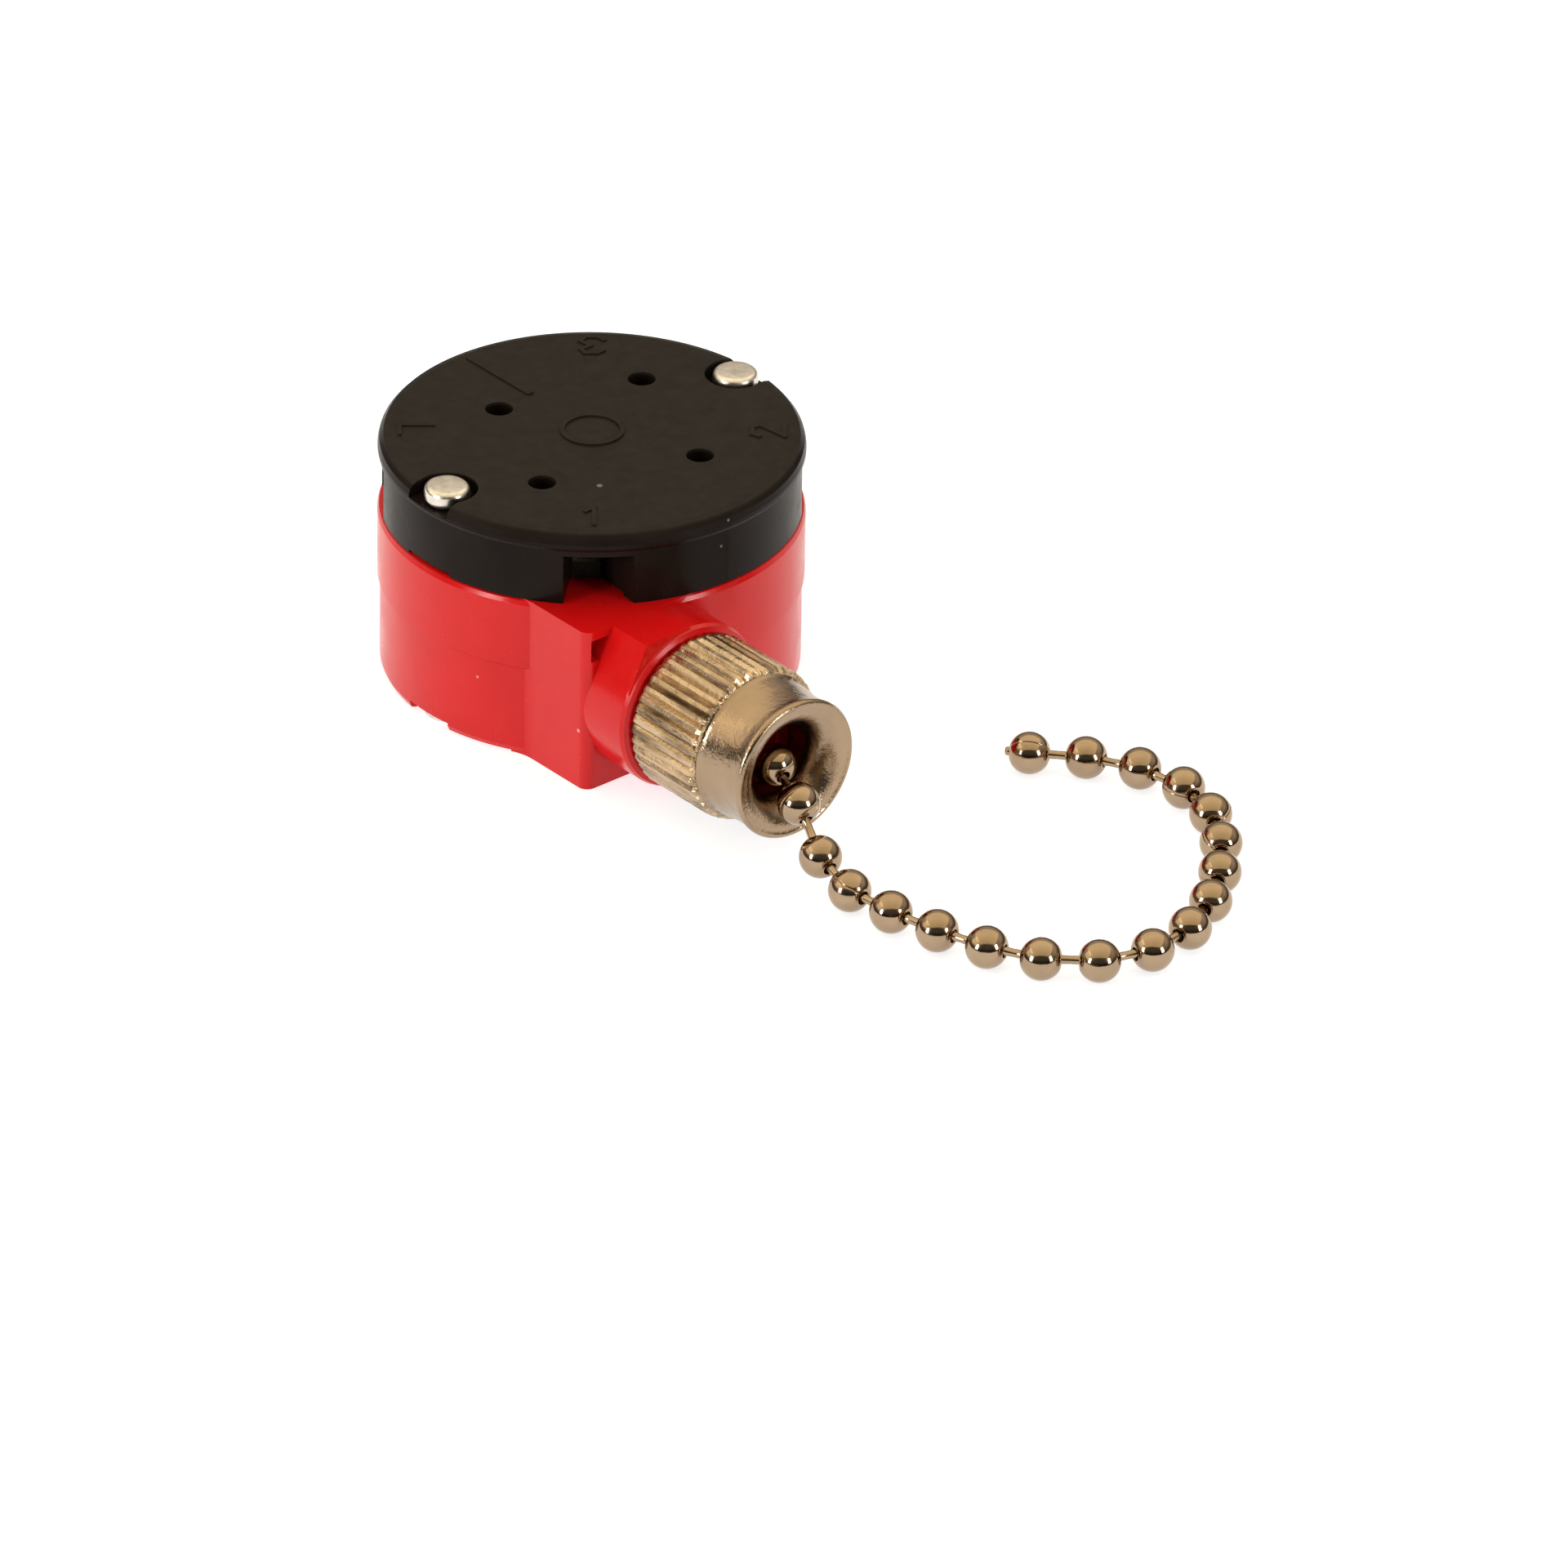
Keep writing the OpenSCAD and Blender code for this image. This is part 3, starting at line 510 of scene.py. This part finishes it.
def black_plastic():
    """Glossy brown-black sides and a duller, greyer top, with dust specks."""
    m = Mat("black_moulded", (0.02, 0.016, 0.013), 0.3, ior=1.17)
    top = m.ramp(m.axis(2), *DECK_TOP)
    side_colour = m.mix(m.ramp(m.noise(260, 3, 0.5), 0.3, 0.7),
                        (0.008, 0.0047, 0.0036), (0.0115, 0.0068, 0.0052))
    top_colour = m.mix(m.ramp(m.noise(900, 3, 0.6), 0.35, 0.7),
                       (0.016, 0.0130, 0.0115), (0.021, 0.0175, 0.0155))
    base = m.mix(top, side_colour, top_colour)
    dust = m.math("MAXIMUM", m.specks(300, 0.085, 0.14, 0.3), m.specks(700, 0.10, 0.06, 0.9))
    m.colour(m.mix(m.math("MULTIPLY", dust, 0.5), base, (0.34, 0.31, 0.28)))
    sheen = m.math("MULTIPLY", top, 0.2)
    grain = m.ramp(m.noise(520, 4, 0.6), 0.3, 0.75, 0.20, 0.34)
    m.rough(m.math("ADD", grain, sheen))
    m.bump(m.noise(2200, 2, 0.6), 0.22, 0.00003)
    m.bump(m.noise(220, 2, 0.5), 0.10, 0.0002)
    return m.m


def nickel_cast():
    """Cast nickel: smooth on the barrel, streaked, pitted and duller on the flutes."""
    m = Mat("nickel_cast", (0.78, 0.66, 0.5), 0.2, metal=1.0)
    knurl = m.ramp(m.axis(0), *KNURL_END, 1.0, 0.0)
    streak = m.noise(900, 3, 0.6, m.scaled(0.18, 1, 1))
    spots = m.ramp(m.noise(1500, 4, 0.7), 0.62, 0.7)
    plain = m.mix(m.ramp(m.noise(260, 4, 0.6), 0.3, 0.7), (0.32, 0.228, 0.15), (0.38, 0.276, 0.185))
    rough = m.mix(m.ramp(streak, 0.30, 0.58), (0.16, 0.112, 0.07), (0.56, 0.425, 0.285))
    base = m.mix(knurl, plain, rough)
    pits = m.math("MULTIPLY", spots, m.ramp(knurl, 0, 1, 0.10, 0.35))
    m.colour(m.mix(pits, base, (0.10, 0.07, 0.045)))
    m.rough(m.math("ADD", m.ramp(m.noise(700, 3, 0.6), 0.3, 0.8, 0.14, 0.27),
                   m.math("MULTIPLY", knurl, 0.08)))
    m.bump(m.math("MULTIPLY", streak, knurl), 0.7, 0.00014)
    grit = m.math("MULTIPLY", m.noise(2600, 3, 0.7), m.ramp(knurl, 0, 1, 0.9, 1.0))
    m.bump(grit, 0.65, 0.00007)
    m.bump(m.noise(330, 3, 0.6), 0.16, 0.00015)
    return m.m


def nickel_chain():
    """Bright rolled nickel with a few brown spots."""
    m = Mat("nickel_bead", (0.6, 0.48, 0.35), 0.08, metal=1.0)
    base = m.mix(m.ramp(m.noise(420, 3, 0.6), 0.3, 0.7), (0.34, 0.245, 0.16), (0.39, 0.285, 0.19))
    spots = m.math("MULTIPLY", m.ramp(m.noise(2300, 3, 0.7), 0.67, 0.74), 0.5)
    m.colour(m.mix(spots, base, (0.16, 0.10, 0.06)))
    m.rough(m.ramp(m.noise(900, 3, 0.6), 0.35, 0.8, 0.07, 0.2))
    m.bump(m.noise(520, 3, 0.55), 0.14, 0.00012)
    m.bump(m.noise(2600, 2, 0.6), 0.12, 0.00003)
    return m.m


def rivet_steel():
    """Pale satin steel."""
    m = Mat("rivet_satin", (0.66, 0.63, 0.58), 0.3, metal=1.0)
    base = m.mix(m.ramp(m.noise(900, 4, 0.65), 0.3, 0.7), (0.58, 0.53, 0.46), (0.84, 0.80, 0.73))
    m.colour(base)
    m.rough(m.ramp(m.noise(1200, 3, 0.6), 0.3, 0.75, 0.2, 0.42))
    m.bump(m.noise(1500, 3, 0.7), 0.3, 0.00004)
    m.bump(m.noise(450, 2, 0.5), 0.3, 0.00012)
    return m.m


def metal(name, dark, light, rough, stretch=(1, 1, 1)):
    """A plain metal for the parts inside, its grain drawn out by stretch."""
    grain = 1200
    m = Mat(name, light, rough, metal=1.0)
    v = m.scaled(*stretch)
    m.colour(m.mix(m.ramp(m.noise(grain, 3, 0.6, v), 0.3, 0.7), dark, light))
    m.rough(m.ramp(m.noise(grain * 0.6, 3, 0.6, v), 0.3, 0.75, rough - 0.08, rough + 0.12))
    m.bump(m.noise(grain, 2, 0.6, v), 0.25, 0.00003)
    return m.m


def nylon(name, dark, light):
    """Pale moulded nylon for the parts inside."""
    m = Mat(name, light, 0.45, ior=1.53)
    m.colour(m.mix(m.ramp(m.noise(300, 4, 0.6), 0.3, 0.7), dark, light))
    m.rough(m.ramp(m.noise(800, 3, 0.6), 0.3, 0.75, 0.36, 0.55))
    m.bump(m.noise(1200, 3, 0.6), 0.25, 0.00004)
    return m.m


BY_SLOT = {
    "red_plastic": red_plastic(),
    "black_plastic": black_plastic(),
    "rivet_steel": rivet_steel(),
    "pin_steel": metal("pin_ground", (0.42, 0.42, 0.43), (0.62, 0.62, 0.63), 0.22, (1, 1, 6)),
    "spring_steel": metal("spring_rolled", (0.30, 0.31, 0.33), (0.5, 0.51, 0.53), 0.3, (1, 1, 0.2)),
    "nickel": nickel_cast(),
    "chain_nickel": nickel_chain(),
    "nylon": nylon("nylon_natural", (0.70, 0.66, 0.55), (0.82, 0.79, 0.70)),
    "copper": metal("copper_stamped", (0.58, 0.26, 0.13), (0.78, 0.42, 0.25), 0.28),
    "brass_part": metal("brass_stamped", (0.55, 0.38, 0.13), (0.80, 0.60, 0.26), 0.28),
}

# Every part that came with the frame is coloured by its slot, then the pieces made here.
for part in frame["record"]["subparts"]:
    node = frame["nodes"][part["node"]]
    mat = BY_SLOT[part["material_slot"]]
    if not node.data.materials:
        node.data.materials.append(mat)
    for slot in node.material_slots:
        slot.material = mat
chain.data.materials.append(BY_SLOT["chain_nickel"])
nut.data.materials.append(BY_SLOT["nickel"])
for rivet in rivets:
    rivet.data.materials.append(BY_SLOT["rivet_steel"])

# ---- floor, light ---------------------------------------------------------------

FLOOR_GLOW = 0.74                        # keeps the floor pale in the part's own shadow
BACK_LIGHT, FRONT_LIGHT = 0.68, 0.11     # world, beyond the part and on the camera's side
HORIZON_LIGHT = 0.12                     # share of the world's light left at the horizon
SIDE_LIGHT, LEFT_LIGHT, OVER_LIGHT = 14.0, 0.95, 0.76
SIDE_AZIMUTH, REACH = math.radians(54), 0.6
WORLD_TINT, LEFT_TINT, OVER_TINT = (1.0, 0.88, 0.74, 1), (1.0, 0.86, 0.58), (1.0, 0.86, 0.52)


def make_floor():
    """A pale floor a hair below the part, so that no faces lie on each other."""
    half, z = 4, -0.00004
    corners = [(-half, -half, z), (half, -half, z), (half, half, z), (-half, half, z)]
    floor = mesh_object("floor", corners, [(0, 1, 2, 3)], None)
    m = Mat("floor_pale", (0.8, 0.8, 0.8), 0.8)
    m.colour(m.mix(m.ramp(m.noise(6, 2, 0.5), 0.3, 0.7), (0.50, 0.52, 0.56), (0.51, 0.53, 0.57)))
    m.p.inputs["Emission Color"].default_value = (0.97, 0.98, 1, 1)
    m.p.inputs["Emission Strength"].default_value = FLOOR_GLOW
    m.p.inputs["Specular IOR Level"].default_value = 0.0
    floor.data.materials.append(m.m)


def softbox(name, place, aim, size_x, size_y, radiance, colour=(1, 1, 1)):
    """An area light whose brightness to look at doesn't depend on its size."""
    data = bpy.data.lights.new(name, "AREA")
    data.shape = "RECTANGLE"
    data.size, data.size_y = size_x, size_y
    data.energy = radiance * size_x * size_y * math.pi
    data.color = colour
    ob = bpy.data.objects.new(name, data)
    bpy.context.scene.collection.objects.link(ob)
    ob.location = place
    ob.rotation_euler = (Vector(aim) - Vector(place)).to_track_quat("-Z", "Y").to_euler()
    return ob


def make_world(flat):
    """Light from all round, brighter beyond the part, with a dark band along the horizon."""
    world = bpy.data.worlds.new("studio")
    world.use_nodes = True
    bpy.context.scene.world = world
    nt = world.node_tree
    bg = nt.nodes["Background"]
    tc = nt.nodes.new("ShaderNodeTexCoord")
    dot = nt.nodes.new("ShaderNodeVectorMath")
    dot.operation = "DOT_PRODUCT"
    dot.inputs[1].default_value = flat
    nt.links.new(tc.outputs["Generated"], dot.inputs[0])
    height = nt.nodes.new("ShaderNodeSeparateXYZ")
    nt.links.new(tc.outputs["Generated"], height.inputs[0])

    def ramp(value, *limits):
        n = nt.nodes.new("ShaderNodeMapRange")
        for socket, limit in zip(("From Min", "From Max", "To Min", "To Max"), limits):
            n.inputs[socket].default_value = limit
        nt.links.new(value, n.inputs["Value"])
        return n.outputs["Result"]

    both = nt.nodes.new("ShaderNodeMath")
    both.operation = "MULTIPLY"
    nt.links.new(ramp(dot.outputs["Value"], -0.2, 0.75, BACK_LIGHT, FRONT_LIGHT), both.inputs[0])
    nt.links.new(ramp(height.outputs[2], 0.12, 0.40, HORIZON_LIGHT, 1.0), both.inputs[1])
    nt.links.new(both.outputs[0], bg.inputs["Strength"])
    bg.inputs["Color"].default_value = WORLD_TINT


def make_lights():
    """Two small boxes beside the camera, a sheet on the left and a big one overhead."""
    flat = Vector((cam_back.x, cam_back.y, 0)).normalized()
    flat_right = Vector((cam_right.x, cam_right.y, 0)).normalized()
    make_world(flat)
    mid = Vector((0.012, -0.002, 0.008))
    for side in (-1, 1):
        place = mid + (flat_right * side * math.sin(SIDE_AZIMUTH) + flat * math.cos(SIDE_AZIMUTH)) * REACH
        place.z = 0.2
        softbox("side_box", place, mid, 0.13, 0.24, SIDE_LIGHT * (1 - 0.15 * side))
    place = mid - flat_right * 0.68 + flat * 0.05
    place.z = 0.44
    softbox("left_sheet", place, mid, 0.5, 0.42, LEFT_LIGHT, LEFT_TINT)
    over = mid - flat * 0.04 + Vector((0, 0, REACH))
    box = softbox("overhead", over, over + Vector((0, 0, -1)), 1.5, 1.3, OVER_LIGHT, OVER_TINT)
    box.rotation_euler = (0, 0, math.atan2(flat_right.y, flat_right.x))


make_floor()
make_lights()
bpy.context.scene.view_settings.view_transform = "Standard"
